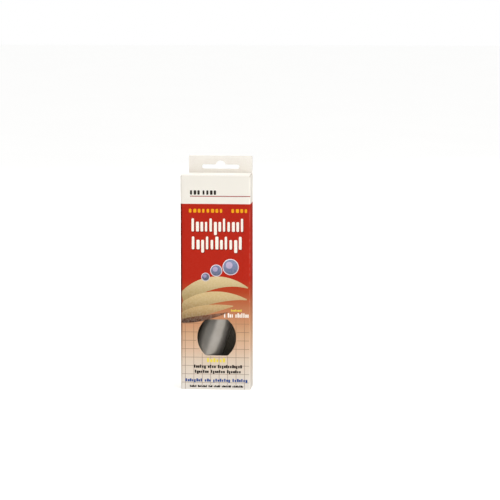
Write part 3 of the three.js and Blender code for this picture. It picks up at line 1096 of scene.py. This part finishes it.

# %% [markdown]
# ## The foam lining
#
# The lining is a strip of closed foam that is pressed into the gutter, and its cut edge
# stands a millimetre proud of the metal. It could be simulated as cloth, but foam this thin
# hardly moves, so its skin gets a slow ripple. A wide bevel rounds the cut rim, and
# the crumb of the foam is fine relief in the material.

# %% Foam
recipe = Recipe("foam", roughness=0.95, specular=0.15)
recipe.shader.inputs["Sheen Weight"].default_value = 0.25
crumb = recipe.noise(1700, 4)
cloud = recipe.noise(120, 3)
tone = recipe.ramp(crumb, [(0.28, "66728c"), (0.5, "8693ae"), (0.72, "a3aec4")])
tone = recipe.mix(recipe.spread(cloud, 0.35, 0.65, 0.0, 0.3), tone, linear("6f7b95"))
foam = recipe.finish(tone, crumb, 0.00025)
print("foam material:", foam.name)

# %% The lining
FOAM_THICKNESS = 2.4
FOAM_PROUD = 1.0
FOAM_GAP = 0.3  # between the metal and the foam, where the glue is
SKIN_INSET = 0.08
RIPPLE_HEIGHT = 0.06
KEEL_TOP = -5  # below this depth the skin keeps level
foam_radius = SPLINT_RADIUS - SHEET - FOAM_GAP


def foam_ripple(run, turn, depth):
    """How far the foam's skin lies out from an even sweep, in millimetres."""
    wave = math.sin(run * 0.45 + 2 * turn) * (depth > KEEL_TOP)
    return -SKIN_INSET + RIPPLE_HEIGHT * wave


lining = gutter("foam_lining", foam_radius, WALL_RISE + FOAM_PROUD, foam, foam_ripple)
thicken(lining, FOAM_THICKNESS - 0.1, bevel=0.7)  # thinner than packed, for the ripple
print("lining faces:", apply_and_smooth(lining, 60))
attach(lining, "carton")
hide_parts("splint_foam")

# %% [markdown]
# ## Floor and light
#
# The carton stands on a plain pale sheet that runs off to white, and glows a little itself,
# so that it stays white behind the carton too. A sun overhead lights everything evenly, far
# and near, and a soft light high in front adds to it on the print. The broad panel at the
# right matters most for the metal: a satin gutter shows what stands round it, and the panel
# becomes its one long highlight, while its sides show the dark room. Two fill lights lift the
# carton's right side and its back.

# %% Floor
recipe = Recipe("pale_floor", roughness=0.9, specular=0.1)
recipe.shader.inputs["Emission Color"].default_value = (1, 1, 1, 1)
recipe.shader.inputs["Emission Strength"].default_value = 0.18
floor_tone = recipe.mix(recipe.noise(4, 2), linear("fbfbfa"), linear("f7f7f6"))
floor_material = recipe.finish(floor_tone)
bpy.ops.mesh.primitive_grid_add(x_subdivisions=4, y_subdivisions=4, size=12, location=(0, 4, 0))
floor = bpy.context.object
floor.name = "floor"
floor.data.materials.append(floor_material)
floor.visible_glossy = False  # the metal mirrors the studio, not the sheet in front of it
floor.visible_shadow = False
floor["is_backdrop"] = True


# %% Lights
CARTON_MIDDLE = 0.08
WARM_WHITE = (1.0, 0.975, 0.94)


def soft_light(name, azimuth, elevation, distance, width, height, power):
    """An area light that faces the carton's middle from that side."""
    towards = direction(math.radians(azimuth), math.radians(elevation))
    data = bpy.data.lights.new(name, "AREA")
    data.shape = "RECTANGLE"
    data.size, data.size_y = width, height
    data.energy = power
    data.color = WARM_WHITE
    light = bpy.data.objects.new(name, data)
    light.location = towards * distance + Vector((0, 0, CARTON_MIDDLE))
    light.rotation_euler = towards.to_track_quat("Z", "Y").to_euler()
    bpy.context.scene.collection.objects.link(light)
    print(name, "at", [round(c, 2) for c in light.location])


soft_light("key", 14, 52, 1.5, 1.2, 0.8, 1.7)
soft_light("glow_panel", 39, 0, 2.1, 4.6, 2.9, 24)
soft_light("side_fill", 80, 15, 1.6, 1.0, 1.2, 5)
soft_light("back_fill", 205, 30, 1.8, 1.4, 1.2, 11)
overhead_data = bpy.data.lights.new("overhead", "SUN")
overhead_data.energy = 2.65
overhead_data.angle = math.radians(70)
overhead = bpy.data.objects.new("overhead", overhead_data)
sun_side = direction(math.radians(30), math.radians(78))
overhead.rotation_euler = sun_side.to_track_quat("Z", "Y").to_euler()
bpy.context.scene.collection.objects.link(overhead)

# %% The room: white to the camera, dark to everything else
world = bpy.data.worlds.new("studio")
world.use_nodes = True
nodes, links = world.node_tree.nodes, world.node_tree.links
backdrop = nodes["Background"]
backdrop.inputs["Color"].default_value = (1, 1, 1, 1)
room_light = nodes.new("ShaderNodeMapRange")
seen = nodes.new("ShaderNodeLightPath")
links.new(seen.outputs["Is Camera Ray"], room_light.inputs["Value"])
room_light.inputs["To Min"].default_value = 0.045  # the dim room that the metal mirrors
room_light.inputs["To Max"].default_value = 1.0  # the white that the camera sees
links.new(room_light.outputs[0], backdrop.inputs["Strength"])
bpy.context.scene.world = world
bpy.context.scene.view_settings.view_transform = "Standard"
print("room light:", round(room_light.inputs["To Min"].default_value, 3))

# %% [markdown]
# ## Last measurements
#
# The dressed carton must be the size of the imported model. Both boxes are measured, and the
# last lines print how far apart their sides are.

# %% Compare sizes and finish
dressed_box = [list(corner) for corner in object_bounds()]
for axis, name in enumerate("XYZ"):
    low = (dressed_box[0][axis] - solid_box[0][axis]) / MM
    high = (dressed_box[1][axis] - solid_box[1][axis]) / MM
    print(name, "differs by", round(low, 2), "and", round(high, 2), "mm")
